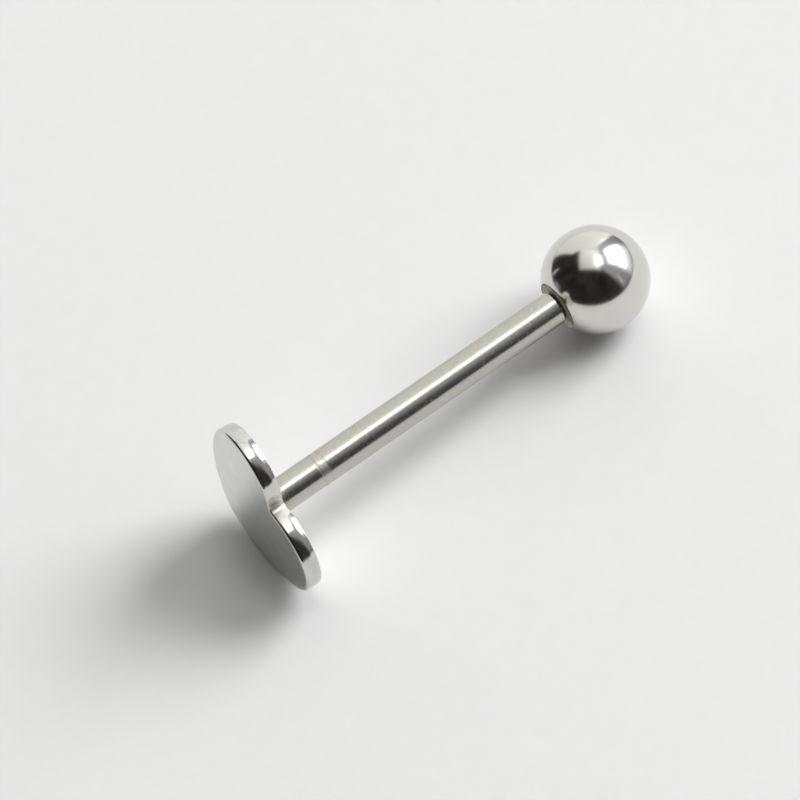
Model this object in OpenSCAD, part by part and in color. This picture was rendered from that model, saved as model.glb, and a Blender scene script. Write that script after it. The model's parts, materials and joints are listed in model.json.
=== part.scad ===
// Tongue barbell: a straight round post with a flat heart soldered to one end
// and a screw-on ball at the other. Millimetres, +Z up, post along X.
// The piece lies as it rests by itself: on the ball and on one side of the heart.

/* [Post] */
// Diameter of the post
post_d = 1.6; // [1.2:0.2:2.4]
// Length of the post between the heart and the ball
post_l = 16; // [10:1:22]
// Chamfer on the shoulder that the ball screws up against
shoulder_c = 0.12; // [0.05:0.01:0.15]

/* [Thread] */
// Crest diameter of the thread on the end of the post
thread_d = 1.2; // [0.9:0.05:1.2]
// Length of the threaded end beyond the shoulder
thread_l = 2.6; // [2:0.1:2.8]
// Distance from one turn of the thread to the next
thread_pitch = 0.25; // [0.2:0.05:0.35]
// Depth of the thread
thread_depth = 0.12; // [0.08:0.01:0.16]
// Length of the plain neck between the shoulder and the first turn
neck_l = 0.3; // [0.2:0.05:0.5]

/* [Ball] */
// Diameter of the ball
ball_d = 5; // [4:0.5:6]
// Diameter of the flat that faces the post
flat_d = 2.4; // [2:0.1:2.8]
// Clearance all round between the thread and the hole in the ball
bore_clear = 0.05; // [0.02:0.01:0.08]
// Depth left in the hole beyond the end of the thread
bore_spare = 0.3; // [0.2:0.05:0.4]
// Gap left between the shoulder and the flat of the ball
seat_gap = 0.06; // [0.03:0.01:0.1]

/* [Heart] */
// Width of the heart across its two lobes
heart_w = 8.2; // [7.6:0.1:9]
// Height of the heart from the tops of the lobes to the tip
heart_h = 6.9; // [6.6:0.1:7.4]
// Thickness of the heart
heart_t = 0.8; // [0.6:0.1:1.2]
// Radius of each lobe
lobe_r = 2.25; // [2.1:0.05:2.4]
// Radius of the bulging side between a lobe and the tip
side_r = 5.8; // [5.4:0.1:7]
// Radius of the rounded tip
tip_r = 0.6; // [0.3:0.1:0.9]
// Radius worn on the front and back edges of the heart
edge_r = 0.12; // [0.05:0.01:0.2]
// How far the post stands below the line through the lobe centres
post_drop = 0.65; // [0.4:0.05:0.9]

/* [Pose] */
// Turn of the heart about the post when it lies on one side
heart_turn = 43.5; // [38:0.5:48]
// How far the soldered heart leans back off square, seen from the side
lean_back = 3; // [-4:0.5:4]
// How far the soldered heart leans off square, seen from above
lean_side = -3; // [-4:0.5:4]

/* [Hidden] */
$fn = 96;

// Sizes that follow from the ones above
post_r = post_d / 2;
ball_r = ball_d / 2;
thread_r = thread_d / 2;
bore_r = thread_r + bore_clear;
flat_x = sqrt(ball_r * ball_r - flat_d * flat_d / 4);
ball_x = post_l + seat_gap + flat_x;
// How far joined pieces run into each other, and how far a cut reaches past what it cuts
sunk = heart_t / 2;
over = 1;

// Heart outline: lobe circles, one long arc down each side and a small tip circle.
// The side arc's centre lies across the heart, where it touches lobe and tip circles alike.
lobe_x = heart_w / 2 - lobe_r;
tip_y = -(heart_h - lobe_r - tip_r);
lobe_reach = side_r - lobe_r;
tip_reach = side_r - tip_r;
span = sqrt(lobe_x * lobe_x + tip_y * tip_y);
foot = (lobe_reach * lobe_reach - tip_reach * tip_reach + span * span) / (2 * span);
rise = sqrt(lobe_reach * lobe_reach - foot * foot);
side_x = (lobe_x * foot - tip_y * rise) / span - lobe_x;
side_y = (tip_y * foot + lobe_x * rise) / span;
// Angles, seen from a side arc's centre, at which the arc meets the lobe and the tip
lobe_angle = atan2(-side_y, lobe_x + side_x);
tip_angle = atan2(tip_y - side_y, side_x);
// Angle, seen from a lobe's centre, at which it meets the other lobe in the cleft
cleft_angle = acos(-lobe_x / lobe_r);

// Points along the middle of the rounded edge, used to find how the piece rests
steps = 48;
function ring(x, y, r, from, to) =
    [for (i = [0:steps]) let (a = from + (to - from) * i / steps) [x + r * cos(a), y + r * sin(a)]];
half_path = concat(
    ring(lobe_x, 0, lobe_r - edge_r, cleft_angle, lobe_angle),
    ring(-side_x, side_y, side_r - edge_r, lobe_angle, tip_angle),
    ring(0, tip_y, tip_r - edge_r, tip_angle, -90));
edge_path = concat(half_path, [for (p = half_path) [-p[0], p[1]]]);

// From the heart's own plane to the post's frame: turned about the post, then leaned
function turned(p, x) = let (y = p[0], z = p[1] + post_drop)
    [x, y * cos(heart_turn) - z * sin(heart_turn), y * sin(heart_turn) + z * cos(heart_turn)];
function leaned_side(q) =
    [q[0] * cos(lean_side) - q[1] * sin(lean_side), q[0] * sin(lean_side) + q[1] * cos(lean_side), q[2]];
function leaned_back(q) =
    [q[0] * cos(lean_back) + q[2] * sin(lean_back), q[1], -q[0] * sin(lean_back) + q[2] * cos(lean_back)];
on_post = [for (x = [-edge_r, edge_r - heart_t]) for (p = edge_path) leaned_back(leaned_side(turned(p, x)))];

// Tilt of the post at which an edge point comes down onto the floor, with the ball on it too
function tilt_of(q) = let (x = ball_x - q[0], far = sqrt(x * x + q[2] * q[2]))
    atan2(-q[2], x) - asin((ball_r - edge_r) / far);
post_tilt = max([for (q = on_post) tilt_of(q)]);

// Middle of the piece on the floor, which becomes the origin
rest_x = [for (q = on_post) (q[0] - ball_x) * cos(post_tilt) + q[2] * sin(post_tilt)];
rest_y = [for (q = on_post) q[1]];
mid_x = (min(rest_x) - edge_r + ball_r) / 2;
mid_y = (min(rest_y) + max(rest_y)) / 2;

// Places what is drawn along the post, ball centre at the origin, as it rests on the floor
module at_rest() {
    translate([-mid_x, -mid_y, ball_r]) rotate([0, post_tilt, 0]) children();
}

// Flat disc with rounded edges, lying in the heart's plane
module worn_disc(r) {
    rotate_extrude() {
        square([r - edge_r, heart_t]);
        translate([0, edge_r]) square([r, heart_t - 2 * edge_r]);
        translate([r - edge_r, edge_r]) circle(edge_r);
        translate([r - edge_r, heart_t - edge_r]) circle(edge_r);
    }
}

// The part of a disc of radius r between two directions from its centre
module disc_sector(r, from, to) {
    reach = 2 * r;
    intersection() {
        worn_disc(r);
        translate([0, 0, -over]) linear_extrude(heart_t + 2 * over)
            polygon([[0, 0], reach * [cos(from), sin(from)], reach * [cos(to), sin(to)]]);
    }
}

// Right half of the heart: the lobe above its meeting line, the side below it
module heart_half() {
    wide = 2 * heart_w;
    translate([lobe_x, 0, 0]) difference() {
        worn_disc(lobe_r);
        rotate([0, 0, lobe_angle]) translate([-wide / 2, -wide, -over]) cube([wide, wide, heart_t + 2 * over]);
    }
    translate([-side_x, side_y, 0]) disc_sector(side_r, lobe_angle, tip_angle);
}

// Heart with the post's centre at its origin
module heart_plate() {
    translate([0, post_drop, 0]) {
        heart_half();
        mirror([1, 0, 0]) heart_half();
        translate([0, tip_y, 0]) disc_sector(tip_r, tip_angle, -180 - tip_angle);
    }
}

// Plain post, sunk a little into the heart where it is soldered
module post() {
    rotate([0, 90, 0]) {
        translate([0, 0, -sunk]) cylinder(r = post_r, h = sunk + post_l - shoulder_c);
        translate([0, 0, post_l - shoulder_c]) cylinder(r1 = post_r, r2 = post_r - shoulder_c, h = shoulder_c);
    }
}

// Threaded end: a plain neck, rings for the turns of the thread, and a chamfered nose
module thread() {
    root_r = thread_r - thread_depth;
    turns = floor((thread_l - neck_l - thread_depth) / thread_pitch);
    tooth = thread_pitch / 2;
    rotate([0, 90, 0]) translate([0, 0, post_l]) {
        translate([0, 0, -sunk]) cylinder(r = root_r, h = sunk + thread_l - thread_depth);
        for (i = [0:turns - 1]) translate([0, 0, neck_l + i * thread_pitch]) {
            cylinder(r1 = root_r, r2 = thread_r, h = tooth);
            translate([0, 0, tooth]) cylinder(r1 = thread_r, r2 = root_r, h = tooth);
        }
        translate([0, 0, thread_l - thread_depth])
            cylinder(r1 = root_r, r2 = root_r - thread_depth, h = thread_depth);
    }
}

// The heart, the post and its thread are soldered into one piece
module heart_bar() {
    color([0.78, 0.78, 0.76]) at_rest() translate([-ball_x, 0, 0]) {
        rotate([0, lean_back, 0]) rotate([0, 0, lean_side]) rotate([heart_turn, 0, 0])
            rotate([90, 0, 90]) translate([0, 0, -heart_t]) heart_plate();
        post();
        thread();
    }
}

// Ball with a flat towards the post and a blind hole for the thread
module ball() {
    bore_depth = thread_l + bore_spare;
    color([0.84, 0.84, 0.83]) at_rest() difference() {
        sphere(r = ball_r);
        translate([-flat_x - ball_d, -ball_r, -ball_r]) cube([ball_d, ball_d, ball_d]);
        rotate([0, 90, 0]) translate([0, 0, -flat_x - over]) cylinder(r = bore_r, h = bore_depth + over);
    }
}

heart_bar();
ball();
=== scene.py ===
import json
import math

import bmesh
import bpy
from mathutils import Euler, Matrix, Vector, noise


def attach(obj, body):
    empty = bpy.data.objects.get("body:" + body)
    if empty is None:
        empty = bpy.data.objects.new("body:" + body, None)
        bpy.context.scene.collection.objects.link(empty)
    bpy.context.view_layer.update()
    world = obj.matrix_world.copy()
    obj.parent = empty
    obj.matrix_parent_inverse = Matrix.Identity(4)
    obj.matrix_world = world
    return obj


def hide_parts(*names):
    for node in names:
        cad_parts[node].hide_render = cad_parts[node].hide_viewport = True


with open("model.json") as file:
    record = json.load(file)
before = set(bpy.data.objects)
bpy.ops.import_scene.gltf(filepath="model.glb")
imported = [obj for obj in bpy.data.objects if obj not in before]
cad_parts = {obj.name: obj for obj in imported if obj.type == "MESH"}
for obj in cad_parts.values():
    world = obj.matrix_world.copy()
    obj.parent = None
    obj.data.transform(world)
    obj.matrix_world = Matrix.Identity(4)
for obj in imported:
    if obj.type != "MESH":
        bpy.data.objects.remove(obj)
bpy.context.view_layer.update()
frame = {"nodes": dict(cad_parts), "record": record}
print("frame loaded:", sorted(frame["nodes"]))

mm = 0.001
weldWithin = 1e-5       # millimetres within which two corners of a drawing are one
joinWithin = 1e-7       # metres within which two corners that a join leaves side by side are one
creaseAngle = 32        # degrees between two faces past which their edge stays sharp
mounts = {m["name"]: m for m in frame["record"]["mounts"]}
postMount = mounts["post"]


# the post in millimetres: x runs along it from the heart's back face
postSizes = {
    "radius": postMount["dims"]["r_mm"],
    "length": 16.0,
    "shoulderChamfer": 0.12,
    "sunk": 0.4,                # how far it reaches into the heart
    "filletStart": -0.08,
    "filletRadius": 0.14,       # solder drawn up at the foot of the post
    "filletSteps": 8,
    "holdRing": 0.06,           # rings close to an edge, so that the shading stays even
    "turnSteps": 160,
}

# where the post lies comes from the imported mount: its axis, and the middle of its plain wall
postAxis = Vector(postMount["axis"]).normalized()
wallEnd = postSizes["length"] - postSizes["shoulderChamfer"]
wallMiddle = wallEnd - postMount["dims"]["length_mm"] / 2
postStart = Vector(postMount["pos_m"]) - postAxis * wallMiddle * mm
postTurn = Euler((0, math.atan2(-postAxis.z, postAxis.x), 0))
postSpace = Matrix.LocRotScale(postStart, postTurn, Vector((mm, mm, mm)))


def newPiece(bm, name, place, sharpAngle=creaseAngle):
    # closes the mesh, turns its faces outwards and sets it down in the row's frame
    bmesh.ops.remove_doubles(bm, verts=bm.verts, dist=weldWithin)
    bmesh.ops.recalc_face_normals(bm, faces=bm.faces)
    bmesh.ops.transform(bm, matrix=place, verts=bm.verts)
    mesh = bpy.data.meshes.new(name)
    bm.to_mesh(mesh)
    bm.free()
    mesh.shade_smooth()
    mesh.set_sharp_from_angle(angle=math.radians(sharpAngle))
    piece = bpy.data.objects.new(name, mesh)
    bpy.context.scene.collection.objects.link(piece)
    return piece


def drawTo(bm, last, x, r):
    # next corner of a turned profile: x along the axis, r out from it
    corner = bm.verts.new((x, 0, r))
    bm.edges.new((last, corner))
    return corner


def drawArc(bm, last, centre, degrees, steps, axis=(0, 1, 0)):
    made = bmesh.ops.spin(
        bm, geom=[last], cent=centre, axis=axis, angle=math.radians(degrees), steps=steps, use_duplicate=False
    )
    return next(g for g in made["geom_last"] if isinstance(g, bmesh.types.BMVert))


def turnRound(bm, steps):
    bmesh.ops.spin(
        bm, geom=bm.verts[:] + bm.edges[:], cent=(0, 0, 0), axis=(1, 0, 0),
        angle=math.radians(360), steps=steps, use_merge=True, use_duplicate=False,
    )
    bmesh.ops.remove_doubles(bm, verts=bm.verts, dist=weldWithin)


# the heart in its own plane: x across, y towards the cleft, z through its thickness
heartSizes = {
    "width": 8.2,
    "height": 6.9,
    "thickness": 0.8,
    "lobeRadius": 2.25,
    "sideRadius": 5.8,
    "tipRadius": 0.6,
    "cleftRadius": 0.26,        # the corner between the lobes is left slightly filled
    "postDrop": 0.65,           # how far the post's middle lies below the middles of the lobes
    "turn": 43.5,               # degrees about the post
    "leanBack": 3.0,            # how far off square it was soldered, in degrees
    "leanSide": -3.0,
    "frontEdge": 0.13,          # radius worn on the edge of the outer face
    "backEdge": 0.05,
    "edgeSteps": 6,
    "backBevel": 0.17,          # width of the strip that polishing has taken off the rim at the back
    "backSlope": 12.0,          # how far that strip leans inwards, in degrees
    "bevelSteps": (0.1, 0.8, 0.1),
    "crown": 0.010,             # how much the rim bulges between its two edges
    "crownSteps": 5,
    "flatRing": 0.03,           # a narrow ring inside the edge that keeps the flat face flat
    "mirrorWithin": 1e-4,       # how near its middle line a corner is shared by both halves
    "lobeSteps": 72,
    "sideSteps": 60,
    "tipSteps": 16,
    "cleftSteps": 10,
}

# from the heart's own plane to the row's frame: stood on edge, turned about the post, leaned as soldered
stand = Matrix(((0, 0, 1, 0), (1, 0, 0, 0), (0, 1, 0, 0), (0, 0, 0, 1)))
lean = (
    Matrix.Rotation(math.radians(heartSizes["leanBack"]), 4, "Y")
    @ Matrix.Rotation(math.radians(heartSizes["leanSide"]), 4, "Z")
)
heartSpace = postSpace @ lean @ Matrix.Rotation(math.radians(heartSizes["turn"]), 4, "X") @ stand


def drawHeartOutline(bm):
    # half of the heart from arcs that run into each other: cleft, lobe, side and tip; then its mirror image
    s = heartSizes
    lobeX = s["width"] / 2 - s["lobeRadius"]
    tipY = -(s["height"] - s["lobeRadius"] - s["tipRadius"])
    lobeReach = s["sideRadius"] - s["lobeRadius"]
    tipReach = s["sideRadius"] - s["tipRadius"]
    span = math.hypot(lobeX, tipY)
    foot = (lobeReach ** 2 - tipReach ** 2 + span ** 2) / (2 * span)
    rise = math.sqrt(lobeReach ** 2 - foot ** 2)
    sideX = (lobeX * foot - tipY * rise) / span - lobeX
    sideY = (tipY * foot + lobeX * rise) / span
    lobeAngle = math.degrees(math.atan2(-sideY, lobeX + sideX))
    tipAngle = math.degrees(math.atan2(tipY - sideY, sideX))
    cleftAngle = math.degrees(math.acos(-lobeX / (s["lobeRadius"] + s["cleftRadius"])))
    cleftY = math.sqrt((s["lobeRadius"] + s["cleftRadius"]) ** 2 - lobeX ** 2)
    up = (0, 0, 1)
    last = bm.verts.new((0, cleftY - s["cleftRadius"], 0))
    last = drawArc(bm, last, (0, cleftY, 0), cleftAngle - 90, s["cleftSteps"], up)
    last = drawArc(bm, last, (lobeX, 0, 0), lobeAngle - cleftAngle, s["lobeSteps"], up)
    last = drawArc(bm, last, (-sideX, sideY, 0), tipAngle - lobeAngle, s["sideSteps"], up)
    drawArc(bm, last, (0, tipY, 0), -90 - tipAngle, s["tipSteps"], up)
    bmesh.ops.mirror(bm, geom=bm.verts[:] + bm.edges[:], axis="X", merge_dist=s["mirrorWithin"])
    bmesh.ops.remove_doubles(bm, verts=bm.verts, dist=s["mirrorWithin"])
    bmesh.ops.translate(bm, verts=bm.verts, vec=(0, s["postDrop"], 0))


def heartHalf(edge, bevel=0.0):
    # the outline rises in small steps that follow the crowned rim, its sloping strip and its worn edge
    s = heartSizes
    bm = bmesh.new()
    drawHeartOutline(bm)
    face = bmesh.ops.contextual_create(bm, geom=bm.edges[:])["faces"][0]
    face.normal_update()
    if face.normal.z < 0:
        face.normal_flip()
    band = s["thickness"] / 2 - edge - bevel
    slope = math.tan(math.radians(s["backSlope"]))
    steps = []
    for i in range(s["crownSteps"]):
        a, b = i / s["crownSteps"], (i + 1) / s["crownSteps"]
        steps.append((s["crown"] * (b * b - a * a), band * (b - a)))
    for share in s["bevelSteps"]:
        steps.append((bevel * share * slope, bevel * share))
    for i in range(s["edgeSteps"]):
        a = math.radians(90) * i / s["edgeSteps"]
        b = math.radians(90) * (i + 1) / s["edgeSteps"]
        steps.append((edge * (math.cos(a) - math.cos(b)), edge * (math.sin(b) - math.sin(a))))
    steps.append((s["flatRing"], 0))
    for inset, climb in steps:
        bmesh.ops.inset_region(
            bm, faces=[face], thickness=inset, depth=climb, use_even_offset=True, use_boundary=True
        )
    half = bpy.data.meshes.new("half")
    bm.to_mesh(half)
    bm.free()
    return half


def makeHeartPlate():
    # two halves that meet in the middle of the rim; the front one is turned over
    s = heartSizes
    bm = bmesh.new()
    frontHalf = heartHalf(s["frontEdge"])
    bm.from_mesh(frontHalf)
    bmesh.ops.scale(bm, vec=(1, 1, -1), verts=bm.verts)
    backHalf = heartHalf(s["backEdge"], s["backBevel"])
    bm.from_mesh(backHalf)
    bpy.data.meshes.remove(frontHalf)
    bpy.data.meshes.remove(backHalf)
    bmesh.ops.translate(bm, verts=bm.verts, vec=(0, 0, -s["thickness"] / 2))
    return newPiece(bm, "heartPlate", heartSpace)


# the ring mark turned into the post, in millimetres
markSizes = {
    "place": 2.69,
    "halfWidth": 0.26,
    "rings": 28,
    "reach": 0.99,              # share of the half width past which the post's wall is left alone
    "grooves": (-0.75, 0.75),   # where its two grooves lie, as such shares
    "grooveWidth": 0.22,        # from the middle of a groove to its edge, as such a share too
    "grooveDepth": 0.009,
    "usualDepth": 0.7,          # a groove's depth wanders about this share of the full one
    "depthWander": 0.6,
    "wanderGrain": 2.0,
    "dentDepth": 0.007,         # the worn strip between the grooves is dented
    "dentGrain": 6.0,
    "dirtPlace": 0.19,          # from the middle of the mark to the dirt in each groove
}


def turnMark(bm):
    m = markSizes
    for v in bm.verts:
        share = (v.co.x - m["place"]) / m["halfWidth"]
        if abs(share) < m["reach"]:
            groove = max(max(0, 1 - abs(share - g) / m["grooveWidth"]) for g in m["grooves"])
            worn = noise.noise(v.co * m["dentGrain"]) * m["dentDepth"] * (1 - share * share)
            wander = m["usualDepth"] + m["depthWander"] * noise.noise(v.co * m["wanderGrain"])
            outward = Vector((0, v.co.y, v.co.z)).normalized()
            v.co -= outward * max(0, groove * wander * m["grooveDepth"] + worn)


# the threaded neck that the ball screws onto, in millimetres
threadSizes = {
    "radius": 0.6,
    "depth": 0.12,
    "pitch": 0.25,
    "length": 2.6,
    "neckLength": 0.3,          # plain neck between the shoulder and the first tooth
    "ridgeSunk": 0.02,          # how deep the foot of the ridge reaches into the neck
    "stepsPerTurn": 48,
    "sharpAngle": 50,
}


def makePost():
    # one turned profile from the solder at the heart to the nose of the thread
    s, m, t = postSizes, markSizes, threadSizes
    bm = bmesh.new()
    radius, fillet = s["radius"], s["filletRadius"]
    core = t["radius"] - t["depth"]
    end = s["length"] + t["length"]
    markStart = m["place"] - m["halfWidth"]
    last = bm.verts.new((-s["sunk"], 0, 0))
    last = drawTo(bm, last, -s["sunk"], radius + fillet)
    last = drawTo(bm, last, s["filletStart"], radius + fillet)
    last = drawArc(bm, last, (s["filletStart"] + fillet, 0, radius + fillet), -90, s["filletSteps"])
    last = drawTo(bm, last, s["filletStart"] + fillet + s["holdRing"], radius)
    last = drawTo(bm, last, markStart - s["holdRing"], radius)
    for i in range(m["rings"] + 1):
        last = drawTo(bm, last, markStart + 2 * m["halfWidth"] * i / m["rings"], radius)
    last = drawTo(bm, last, markStart + 2 * m["halfWidth"] + s["holdRing"], radius)
    last = drawTo(bm, last, wallEnd - s["holdRing"], radius)
    last = drawTo(bm, last, wallEnd, radius)
    last = drawTo(bm, last, s["length"], radius - s["shoulderChamfer"])
    last = drawTo(bm, last, s["length"], core)
    last = drawTo(bm, last, end - t["depth"], core)
    last = drawTo(bm, last, end, core - t["depth"])
    drawTo(bm, last, end, 0)
    turnRound(bm, s["turnSteps"])
    turnMark(bm)
    return newPiece(bm, "post", postSpace)


def makeThread():
    # one tooth turned along the neck, closed at both ends
    t = threadSizes
    bm = bmesh.new()
    core = t["radius"] - t["depth"] - t["ridgeSunk"]
    start = postSizes["length"] + t["neckLength"]
    pitch = t["pitch"]
    turns = int((t["length"] - t["neckLength"] - t["depth"] - pitch) / pitch)
    corners = [(start, core), (start + pitch / 2, t["radius"]), (start + pitch, core)]
    tooth = bm.faces.new([bm.verts.new((x, 0, r)) for x, r in corners])
    bmesh.ops.spin(
        bm, geom=[tooth], cent=(0, 0, 0), axis=(1, 0, 0), dvec=(pitch / t["stepsPerTurn"], 0, 0),
        angle=math.radians(360 * turns), steps=turns * t["stepsPerTurn"], use_duplicate=False,
    )
    bmesh.ops.holes_fill(bm, edges=bm.edges, sides=len(corners))
    return newPiece(bm, "threadRidge", postSpace, t["sharpAngle"])


def solder(base, *others):
    # joins the pieces into one closed skin and removes what they were made of
    for other in others:
        join = base.modifiers.new("join", "BOOLEAN")
        join.operation = "UNION"
        join.solver = "EXACT"
        join.object = other
    bpy.context.view_layer.update()
    whole = bpy.data.meshes.new_from_object(base.evaluated_get(bpy.context.evaluated_depsgraph_get()))
    base.modifiers.clear()
    base.data = whole
    for other in others:
        bpy.data.objects.remove(other)
    bm = bmesh.new()
    bm.from_mesh(whole)
    bmesh.ops.remove_doubles(bm, verts=bm.verts, dist=joinWithin)
    bmesh.ops.recalc_face_normals(bm, faces=bm.faces)
    bm.to_mesh(whole)
    bm.free()
    whole.set_sharp_from_angle(angle=math.radians(creaseAngle))
    return base


# the ball, in millimetres, with its centre at the origin and its flat towards the post
ballSizes = {
    "radius": 2.5,
    "flatRadius": 1.2,
    "flatEdge": 0.03,           # how wide the edge of the flat is broken
    "flatEdgeSteps": 3,
    "boreRadius": 0.65,
    "boreDepth": 2.9,
    "boreTip": 0.3,
    "grooveDepth": 0.05,
    "groovePitch": 0.25,
    "seatGap": 0.06,            # between the post's shoulder and the flat
    "pastTip": 0.2,             # how far beyond the hole's tip its finish is looked for
    "arcSteps": 96,
    "turnSteps": 192,
}


def onFlatEdge(v, flatX):
    # whether a corner of the turned ball lies on the edge of its flat
    near = 10 * weldWithin
    return abs(v.co.x - flatX) < near and abs(v.co.yz.length - ballSizes["flatRadius"]) < near


def makeBall():
    # the blind hole's profile from its tip outwards, then the flat and the round outside
    s = ballSizes
    bm = bmesh.new()
    flatX = -math.sqrt(s["radius"] ** 2 - s["flatRadius"] ** 2)
    floorX = flatX + s["boreDepth"]
    last = bm.verts.new((floorX, 0, 0))
    last = drawTo(bm, last, floorX - s["boreTip"], s["boreRadius"])
    grooves = int((s["boreDepth"] - 2 * s["boreTip"]) / s["groovePitch"])
    for i in range(grooves):
        x = floorX - s["boreTip"] - i * s["groovePitch"]
        last = drawTo(bm, last, x - s["groovePitch"] / 2, s["boreRadius"] + s["grooveDepth"])
        last = drawTo(bm, last, x - s["groovePitch"], s["boreRadius"])
    last = drawTo(bm, last, flatX, s["boreRadius"])
    last = drawTo(bm, last, flatX, s["flatRadius"])
    sweep = 180 - math.degrees(math.asin(s["flatRadius"] / s["radius"]))
    drawArc(bm, last, (0, 0, 0), sweep, s["arcSteps"])
    turnRound(bm, s["turnSteps"])
    rim = [e for e in bm.edges if all(onFlatEdge(v, flatX) for v in e.verts)]
    bmesh.ops.bevel(
        bm, geom=rim, offset=s["flatEdge"], segments=s["flatEdgeSteps"], profile=0.5,
        affect="EDGES", material=-1,
    )
    centreX = postSizes["length"] + s["seatGap"] - flatX
    return newPiece(bm, "ballShell", postSpace @ Matrix.Translation((centreX, 0, 0)))


def newMaterial(name):
    material = bpy.data.materials.new(name)
    material.use_nodes = True
    shader = material.node_tree.nodes["Principled BSDF"]
    return material, material.node_tree.nodes, material.node_tree.links, shader


def placed(nodes, links, stretch=(1, 1, 1)):
    # coordinates in millimetres along the post, so that a grain can follow it
    coordinate = nodes.new("ShaderNodeTexCoord")
    mapping = nodes.new("ShaderNodeMapping")
    mapping.vector_type = "TEXTURE"
    mapping.inputs["Location"].default_value = postStart
    mapping.inputs["Rotation"].default_value = postTurn
    mapping.inputs["Scale"].default_value = [mm * k for k in stretch]
    links.new(coordinate.outputs["Object"], mapping.inputs["Vector"])
    return mapping.outputs["Vector"]


def noiseOn(nodes, links, vector, scale, detail, roughness=0.5):
    texture = nodes.new("ShaderNodeTexNoise")
    texture.inputs["Scale"].default_value = scale
    texture.inputs["Detail"].default_value = detail
    texture.inputs["Roughness"].default_value = roughness
    links.new(vector, texture.inputs["Vector"])
    return texture.outputs["Fac"]


def mapTo(nodes, links, value, low, high, fromLow=0.3, fromHigh=0.7):
    ranged = nodes.new("ShaderNodeMapRange")
    ranged.inputs["From Min"].default_value = fromLow
    ranged.inputs["From Max"].default_value = fromHigh
    ranged.inputs["To Min"].default_value = low
    ranged.inputs["To Max"].default_value = high
    links.new(value, ranged.inputs["Value"])
    return ranged.outputs["Result"]


def blendColours(nodes, links, factor, first, second):
    mix = nodes.new("ShaderNodeMix")
    mix.data_type = "RGBA"
    mix.inputs["A"].default_value = (*first, 1)
    mix.inputs["B"].default_value = (*second, 1)
    links.new(factor, mix.inputs["Factor"])
    return mix.outputs["Result"]


def bumpOn(nodes, links, shader, height, distance):
    bump = nodes.new("ShaderNodeBump")
    bump.inputs["Distance"].default_value = distance
    bump.inputs["Strength"].default_value = 1.0
    links.new(height, bump.inputs["Height"])
    links.new(bump.outputs["Normal"], shader.inputs["Normal"])


def mixIn(nodes, links, shader, mask, colour, roughness):
    # lays a stain, or a painted highlight, over the finish that a shader already has
    tint = nodes.new("ShaderNodeMix")
    tint.data_type = "RGBA"
    links.new(mask, tint.inputs["Factor"])
    links.new(shader.inputs["Base Color"].links[0].from_socket, tint.inputs["A"])
    tint.inputs["B"].default_value = (*colour, 1)
    links.new(tint.outputs["Result"], shader.inputs["Base Color"])
    dulled = nodes.new("ShaderNodeMix")
    links.new(mask, dulled.inputs["Factor"])
    links.new(shader.inputs["Roughness"].links[0].from_socket, dulled.inputs["A"])
    dulled.inputs["B"].default_value = roughness
    links.new(dulled.outputs["Result"], shader.inputs["Roughness"])


# what all the steel has in common
steelTexture = {
    "cloudDetail": 5,
    "patchDetail": 4,
    "patchScale": 1.7,          # how much finer the patches of bare metal are than the clouds
    "bumpDetail": 3,
    "stainOrPaintedLightDetail": 5,
    "girthStretch": 1000,       # so wide a stretch that only the place along the post counts
}


def stainOrPaintedLightAt(nodes, links, stainOrPaintedLight):
    # a stain or painted highlight: a patch around a place on the bar, or a band all round the post at its x,
    # with a ragged border
    aside = steelTexture["girthStretch"] if stainOrPaintedLight["allRound"] else 1
    distance = nodes.new("ShaderNodeVectorMath")
    distance.operation = "DISTANCE"
    distance.inputs[1].default_value = stainOrPaintedLight["place"]
    links.new(placed(nodes, links, (1, aside, aside)), distance.inputs[0])
    grain = noiseOn(nodes, links, placed(nodes, links), stainOrPaintedLight["grain"], steelTexture["stainOrPaintedLightDetail"])
    cloud = mapTo(nodes, links, grain, -1, 1)
    ragged = nodes.new("ShaderNodeMath")
    ragged.operation = "MULTIPLY_ADD"
    links.new(cloud, ragged.inputs[0])
    ragged.inputs[1].default_value = stainOrPaintedLight["ragged"]
    links.new(distance.outputs["Value"], ragged.inputs[2])
    return mapTo(nodes, links, ragged.outputs["Value"], stainOrPaintedLight["strength"], 0, stainOrPaintedLight["inner"], stainOrPaintedLight["outer"])


def makeSteel(name, finish):
    t = steelTexture
    material, nodes, links, shader = newMaterial(name)
    cloud = noiseOn(nodes, links, placed(nodes, links, finish["grain"]), finish["cloud"], t["cloudDetail"])
    tone = mapTo(nodes, links, cloud, 0, 1)
    colour = blendColours(nodes, links, tone, finish["bright"], finish["dull"])
    links.new(colour, shader.inputs["Base Color"])
    links.new(mapTo(nodes, links, cloud, *finish["gloss"]), shader.inputs["Roughness"])
    if finish["metal"][0] == finish["metal"][1]:
        shader.inputs["Metallic"].default_value = finish["metal"][0]
    else:
        patchSize = finish["cloud"] * t["patchScale"]
        patches = noiseOn(nodes, links, placed(nodes, links), patchSize, t["patchDetail"])
        links.new(mapTo(nodes, links, patches, *finish["metal"]), shader.inputs["Metallic"])
    for stainOrPaintedLight in finish["stainsAndPaintedLight"]:
        mixIn(nodes, links, shader, stainOrPaintedLightAt(nodes, links, stainOrPaintedLight), stainOrPaintedLight["colour"], stainOrPaintedLight["roughness"])
    bumps = noiseOn(nodes, links, placed(nodes, links), finish["bumpSize"], t["bumpDetail"])
    bumpOn(nodes, links, shader, bumps, finish["bump"])
    return material


# the foot of the cleft, halfway through the heart's thickness, as measured along the post
lobeMiddle = heartSizes["width"] / 2 - heartSizes["lobeRadius"]
cleftHeight = math.sqrt(heartSizes["lobeRadius"] ** 2 - lobeMiddle ** 2)
cleftPlace = postSpace.inverted() @ heartSpace @ Vector(
    (0, cleftHeight + heartSizes["postDrop"], -heartSizes["thickness"] / 2)
)

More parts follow.
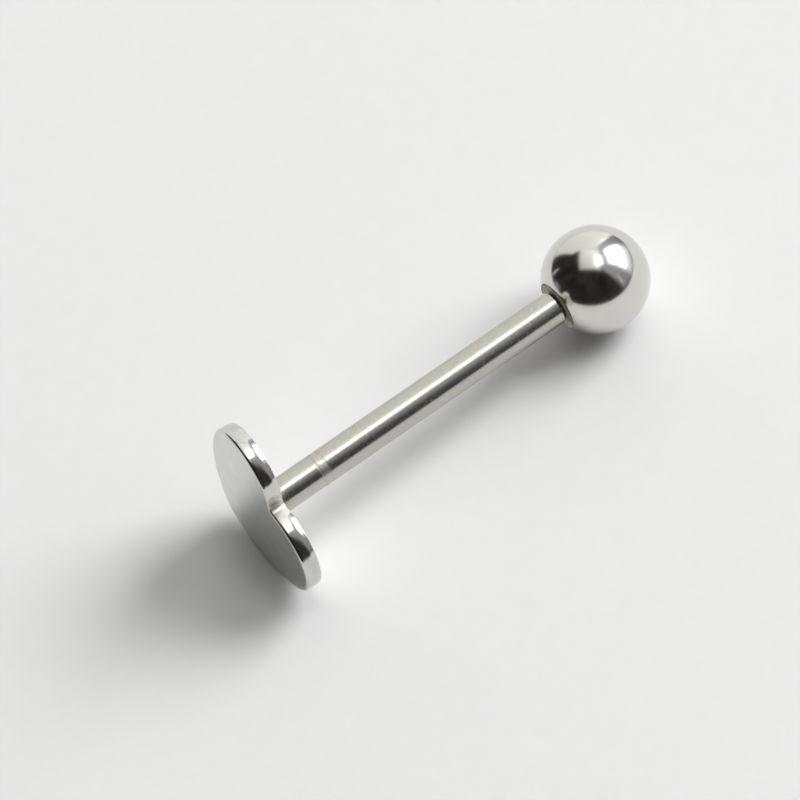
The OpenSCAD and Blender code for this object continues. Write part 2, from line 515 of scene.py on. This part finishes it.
# the polish of each surface: two colours, gloss and metal from-to, how fine its clouds and bumps are,
# how its grain is stretched, and how high its bumps stand in metres
barFinishes = {
    "heartSteel": {
        "bright": (0.665, 0.67, 0.64), "dull": (0.59, 0.595, 0.56), "gloss": (0.06, 0.11), "metal": (1, 1),
        "cloud": 1.1, "grain": (1, 1, 1), "bump": 0.4e-6, "bumpSize": 3.0, "stainsAndPaintedLight": [],
    },
    "rimSteel": {
        "bright": (0.70, 0.70, 0.67), "dull": (0.61, 0.605, 0.58), "gloss": (0.11, 0.19), "metal": (1, 1),
        "cloud": 2.2, "grain": (1, 1, 1), "bump": 2.5e-6, "bumpSize": 6.0,
        "stainsAndPaintedLight": [
            {       # left dull where no wheel reaches into the cleft
                "place": cleftPlace, "allRound": False,
                "inner": 0.5, "outer": 1.0, "grain": 1.6, "ragged": 0.3,
                "strength": 0.9, "colour": (0.70, 0.68, 0.62), "roughness": 0.46,
            },
            {       # a brown trace above it
                "place": cleftPlace + Vector((0, 0, 0.36)), "allRound": False,
                "inner": 0.08, "outer": 0.42, "grain": 5.0, "ragged": 0.28,
                "strength": 0.6, "colour": (0.46, 0.41, 0.35), "roughness": 0.5,
            },
        ],
    },
    "postSteel": {
        "bright": (0.58, 0.56, 0.52), "dull": (0.49, 0.475, 0.43), "gloss": (0.17, 0.28), "metal": (1, 1),
        "cloud": 14.0, "grain": (2, 1, 1), "bump": 0.8e-6, "bumpSize": 12.0,
        "stainsAndPaintedLight": [
            {       # heat of the soldering
                "place": (0, 0, 0), "allRound": True,
                "inner": 0.1, "outer": 0.8, "grain": 2.5, "ragged": 0.2,
                "strength": 0.75, "colour": (0.42, 0.36, 0.29), "roughness": 0.36,
            },
            {       # the ring mark's worn strip, and dirt in its two grooves
                "place": (markSizes["place"], 0, 0), "allRound": True,
                "inner": 0.10, "outer": 0.24, "grain": 3.0, "ragged": 0.12,
                "strength": 0.6, "colour": (0.56, 0.54, 0.49), "roughness": 0.40,
            },
            {
                "place": (markSizes["place"] - markSizes["dirtPlace"], 0, 0), "allRound": True,
                "inner": -0.04, "outer": 0.06, "grain": 2.2, "ragged": 0.10,
                "strength": 0.7, "colour": (0.28, 0.23, 0.17), "roughness": 0.5,
            },
            {
                "place": (markSizes["place"] + markSizes["dirtPlace"], 0, 0), "allRound": True,
                "inner": -0.06, "outer": 0.05, "grain": 2.6, "ragged": 0.10,
                "strength": 0.5, "colour": (0.30, 0.26, 0.20), "roughness": 0.5,
            },
        ],
    },
    "threadSteel": {
        "bright": (0.52, 0.48, 0.42), "dull": (0.34, 0.32, 0.26), "gloss": (0.30, 0.45), "metal": (1, 0.6),
        "cloud": 4.0, "grain": (1, 1, 1), "bump": 4.0e-6, "bumpSize": 12.0, "stainsAndPaintedLight": [],
    },
}

# where the finishes of the bar meet, in millimetres
barBorders = {
    "solderShare": 0.99,        # share of the solder's fillet that still belongs to the post
    "heartBack": -0.05,         # along the post: what lies before it is the heart's
    "faceDepth": 0.03,          # how far over its edge the finish of a flat face reaches
    "beforeThread": 0.001,
}


def paintBar(bar):
    # heart, rim, post and thread are one skin, told apart by where a face lies
    b = barBorders
    bar.data.materials.clear()
    for name, finish in barFinishes.items():
        bar.data.materials.append(makeSteel(name, finish))
    heartSteel, rimSteel, postSteel, threadSteel = range(len(barFinishes))
    alongPost, inHeart = postSpace.inverted(), heartSpace.inverted()
    thickness = heartSizes["thickness"]
    solderRadius = postSizes["radius"] + postSizes["filletRadius"] * b["solderShare"]
    for face in bar.data.polygons:
        place, plate = alongPost @ face.center, inHeart @ face.center
        if place.yz.length > solderRadius or place.x < b["heartBack"]:
            onFace = plate.z > -b["faceDepth"] or plate.z < -thickness + b["faceDepth"]
            face.material_index = heartSteel if onFace else rimSteel
        else:
            onPost = place.x < postSizes["length"] - b["beforeThread"]
            face.material_index = postSteel if onPost else threadSteel


bar = solder(makeHeartPlate(), makePost(), makeThread())
bar.name = "heartAndPost"
bar.data.name = "heartAndPost"
paintBar(bar)
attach(bar, "bar")
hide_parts("heart_bar")
print("bar made:", len(bar.data.polygons), "faces")


seatX = postSizes["length"] + ballSizes["seatGap"]
ballFinishes = {
    "ballSteel": {
        "bright": (0.72, 0.71, 0.68), "dull": (0.67, 0.66, 0.63), "gloss": (0.13, 0.18), "metal": (1, 1),
        "cloud": 0.8, "grain": (1, 1, 1), "bump": 1.5e-6, "bumpSize": 2.5, "stainsAndPaintedLight": [],
    },
    "seatSteel": {
        "bright": (0.80, 0.66, 0.60), "dull": (0.30, 0.29, 0.16), "gloss": (0.35, 0.55), "metal": (0.5, 0.0),
        "cloud": 4.2, "grain": (1, 1, 1), "bump": 1.2e-5, "bumpSize": 7.0,
        "stainsAndPaintedLight": [
            {       # dark at the very edge of the flat
                "place": (seatX, 0, 0), "allRound": False,
                "inner": ballSizes["flatRadius"], "outer": ballSizes["flatRadius"] - 0.10,
                "grain": 3.0, "ragged": 0.07,
                "strength": 0.85, "colour": (0.10, 0.09, 0.07), "roughness": 0.6,
            },
            {       # painted highlight: a lighter patch low on the flat, standing in for the reflection there
                "place": (seatX, -0.95, -0.60), "allRound": False,
                "inner": 0.12, "outer": 0.42, "grain": 6.0, "ragged": 0.2,
                "strength": 0.8, "colour": (0.80, 0.77, 0.72), "roughness": 0.4,
            },
        ],
    },
}


def paintBall(ball):
    # bright outside, dull on the seat and down the threaded hole
    for name, finish in ballFinishes.items():
        ball.data.materials.append(makeSteel(name, finish))
    ballSteel, seatSteel = range(len(ballFinishes))
    alongPost = postSpace.inverted()
    seatRadius = ballSizes["flatRadius"] - ballSizes["flatEdge"] / 2
    seatEnd = postSizes["length"] + ballSizes["boreDepth"] + ballSizes["pastTip"]
    for face in ball.data.polygons:
        place = alongPost @ face.center
        onSeat = place.yz.length < seatRadius and place.x < seatEnd
        face.material_index = seatSteel if onSeat else ballSteel


ball = makeBall()
ball.name = "screwBall"
paintBall(ball)
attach(ball, "ball")
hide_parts("ball")
print("ball made:", len(ball.data.polygons), "faces")


# the camera stands off the heart's end and looks down on the piece, rolled a little
cameraView = {
    "aim": (-0.00212, 0.00087, 0.00302),
    "azimuth": -21.4,
    "elevation": 55.28,
    "roll": -18.42,
    "distance": 0.25,
    "lens": 251.0,
    "seesFrom": 0.01,
    "seesTo": 20.0,
}


def makeCamera():
    v = cameraView
    data = bpy.data.cameras.new("camera")
    data.lens = v["lens"]
    data.clip_start = v["seesFrom"]
    data.clip_end = v["seesTo"]
    camera = bpy.data.objects.new("camera", data)
    turn = (
        Matrix.Rotation(math.radians(v["azimuth"]), 4, "Z")
        @ Matrix.Rotation(math.radians(90 - v["elevation"]), 4, "X")
        @ Matrix.Rotation(math.radians(v["roll"]), 4, "Z")
    )
    camera.matrix_world = Matrix.Translation(v["aim"]) @ turn @ Matrix.Translation((0, 0, v["distance"]))
    bpy.context.scene.collection.objects.link(camera)
    bpy.context.scene.camera = camera


# a sheet of white paper, its size in metres and its fibres in millimetres
paperLook = {
    "halfWidth": 3.0,
    "squares": 8,
    "tones": ((0.80, 0.80, 0.80), (0.83, 0.83, 0.83)),
    "fibres": 1.2,
    "fibreDetail": 8,
    "fibreRoughness": 0.6,
    "fibreHeight": 1.0e-5,
    "roughness": 0.9,
    "shine": 0.2,
}


def makeFloor():
    p = paperLook
    bm = bmesh.new()
    bmesh.ops.create_grid(bm, x_segments=p["squares"], y_segments=p["squares"], size=p["halfWidth"])
    floor = newPiece(bm, "paperFloor", Matrix.Identity(4))
    material, nodes, links, shader = newMaterial("paper")
    fibres = noiseOn(nodes, links, placed(nodes, links), p["fibres"], p["fibreDetail"], p["fibreRoughness"])
    links.new(blendColours(nodes, links, fibres, *p["tones"]), shader.inputs["Base Color"])
    shader.inputs["Roughness"].default_value = p["roughness"]
    shader.inputs["Specular IOR Level"].default_value = p["shine"]
    bumpOn(nodes, links, shader, fibres, p["fibreHeight"])
    floor.data.materials.append(material)


# soft panels of light, each by its corners as seen from the piece: (azimuth from +X, elevation) in degrees
lightPanels = {
    "windowPanel": {
        "corners": [(13.5, 18), (15, 50), (-30, 54), (-33, 17)], "strengths": (10.0, 9.6, 8.8, 9.2),
        "colour": (0.985, 0.99, 1.0), "softEdge": 0.07, "distance": 1.5,
    },
    "windowSill": {
        "corners": [(18, 1), (17, 22), (-36, 21), (-43, 1)], "strengths": (0.75, 1.3, 1.25, 0.65),
        "colour": (0.96, 0.95, 1.0), "softEdge": 0.2, "distance": 1.6,
    },
    "windowHalo": {
        "corners": [(21, 10), (26, 57), (-40, 61), (-45, 10)], "strengths": (0.7, 0.6, 0.55, 0.6),
        "colour": (0.96, 0.94, 1.0), "softEdge": 0.22, "distance": 1.7,
    },
    "doorEdge": {
        "corners": [(30, 12), (34, 44), (41, 45), (35, 13)], "strengths": (2.0, 2.0, 2.0, 2.0),
        "colour": (1.0, 1.0, 1.0), "softEdge": 0.4, "distance": 1.45,
    },
    "curtainEdge": {
        "corners": [(-50, 40), (-53, 43), (-64, 8), (-58, 6)], "strengths": (0.5, 0.5, 0.8, 0.8),
        "colour": (1.0, 0.99, 0.97), "softEdge": 0.4, "distance": 1.45,
    },
    "ceilingGlow": {
        "corners": [(42, 70), (12, 61), (-42, 62), (-100, 75)], "strengths": (4.5, 6.5, 6.5, 4.5),
        "colour": (1.0, 1.0, 0.97), "softEdge": 0.5, "distance": 1.65,
    },
    "ceilingPanel": {
        "corners": [(82, 45), (27, 54), (-74, 61), (168, 60)], "strengths": (1.0, 1.5, 0.95, 0.45),
        "colour": (1.0, 1.0, 0.95), "softEdge": 0.16, "distance": 1.75,
    },
    "backWall": {
        "corners": [(108, -1), (104, 44), (29, 57), (30, -1)], "strengths": (0.8, 0.75, 1.15, 1.15),
        "colour": (1.0, 1.0, 0.97), "softEdge": 0.05, "distance": 1.85,
    },
    "windowWall": {
        "corners": [(35, -1), (38, 57), (-74, 63), (-69, -1)], "strengths": (0.25, 0.5, 0.38, 0.26),
        "colour": (0.98, 0.96, 1.0), "softEdge": 0.13, "distance": 1.8,
    },
    "shelfEdge": {
        "corners": [(127, -2), (128, 23), (131, 24), (133, -2)], "strengths": (0.7, 0.7, 0.7, 0.7),
        "colour": (1.0, 0.99, 0.96), "softEdge": 0.35, "distance": 1.5,
    },
    "sideWall": {
        "corners": [(162, -2), (158, 9), (142, 10), (141, -2)], "strengths": (0.25, 0.2, 0.35, 0.4),
        "colour": (1.0, 1.0, 1.0), "softEdge": 0.3, "distance": 1.5,
    },
}
panelSquares = 16       # along each side of a panel


def skyward(azimuth, elevation):
    a, e = math.radians(azimuth), math.radians(elevation)
    return Vector((math.cos(e) * math.cos(a), math.cos(e) * math.sin(a), math.sin(e)))


def glowing(mesh, name):
    # a mesh that gives light and is hidden from the camera; the caller joins up its emission
    material = bpy.data.materials.new(name)
    material.use_nodes = True
    nodes, links = material.node_tree.nodes, material.node_tree.links
    nodes.clear()
    emission = nodes.new("ShaderNodeEmission")
    output = nodes.new("ShaderNodeOutputMaterial")
    mesh.materials.append(material)
    light = bpy.data.objects.new(name, mesh)
    bpy.context.scene.collection.objects.link(light)
    light.visible_camera = False
    return nodes, links, emission, output


def makePanel(name, panel):
    # a grid bent over the piece; each point keeps how strongly it glows and how much it covers,
    # so that the edges melt away
    bm = bmesh.new()
    bmesh.ops.create_grid(bm, x_segments=panelSquares, y_segments=panelSquares, size=0.5)
    glow = bm.verts.layers.float.new("glow")
    cover = bm.verts.layers.float.new("cover")
    a, b, c, d = [skyward(*corner) for corner in panel["corners"]]
    glowA, glowB, glowC, glowD = panel["strengths"]
    for v in bm.verts:
        s, t = v.co.x + 0.5, v.co.y + 0.5
        fade = min(1.0, min(s, 1 - s, t, 1 - t) / panel["softEdge"])
        v[glow] = (glowA * (1 - t) + glowB * t) * (1 - s) + (glowD * (1 - t) + glowC * t) * s
        v[cover] = fade * fade * (3 - 2 * fade)
        towards = (a * (1 - t) + b * t) * (1 - s) + (d * (1 - t) + c * t) * s
        v.co = towards.normalized() * panel["distance"]
    mesh = bpy.data.meshes.new(name)
    bm.to_mesh(mesh)
    bm.free()
    mesh.shade_smooth()
    nodes, links, emission, output = glowing(mesh, name)
    emission.inputs["Color"].default_value = (*panel["colour"], 1)
    kept = {}
    for layer in ("glow", "cover"):
        kept[layer] = nodes.new("ShaderNodeAttribute")
        kept[layer].attribute_name = layer
    links.new(kept["glow"].outputs["Fac"], emission.inputs["Strength"])
    clear = nodes.new("ShaderNodeBsdfTransparent")
    melt = nodes.new("ShaderNodeMixShader")
    links.new(kept["cover"].outputs["Fac"], melt.inputs["Fac"])
    links.new(clear.outputs["BSDF"], melt.inputs[1])
    links.new(emission.outputs["Emission"], melt.inputs[2])
    links.new(melt.outputs["Shader"], output.inputs["Surface"])


# the dim room behind the panels: its radius in metres, and two tones that cloud into each other
roomLook = {
    "radius": 2.4,
    "subdivisions": 4,
    "dark": (0.006, 0.006, 0.0055),
    "light": (0.040, 0.037, 0.032),
    "cloud": 1.3,
    "cloudDetail": 5,
}


def makeRoom():
    # a dome, clouded so that no mirror shows one flat dark tone
    r = roomLook
    bm = bmesh.new()
    bmesh.ops.create_icosphere(bm, subdivisions=r["subdivisions"], radius=r["radius"])
    mesh = bpy.data.meshes.new("roomDome")
    bm.to_mesh(mesh)
    bm.free()
    nodes, links, emission, output = glowing(mesh, "roomDome")
    mesh.materials[0].cycles.emission_sampling = "NONE"     # so dim that its reflections alone find it
    coordinate = nodes.new("ShaderNodeTexCoord")
    cloud = noiseOn(nodes, links, coordinate.outputs["Object"], r["cloud"], r["cloudDetail"])
    tone = mapTo(nodes, links, cloud, 0, 1)
    links.new(blendColours(nodes, links, tone, r["dark"], r["light"]), emission.inputs["Color"])
    links.new(emission.outputs["Emission"], output.inputs["Surface"])
    world = bpy.data.worlds.new("room")
    world.use_nodes = True
    world.node_tree.nodes["Background"].inputs["Color"].default_value = (*r["dark"], 1)
    bpy.context.scene.world = world
    bpy.context.scene.view_settings.view_transform = "Standard"


makeCamera()
makeFloor()
for name, panel in lightPanels.items():
    makePanel(name, panel)
makeRoom()
print("camera, floor and light made")
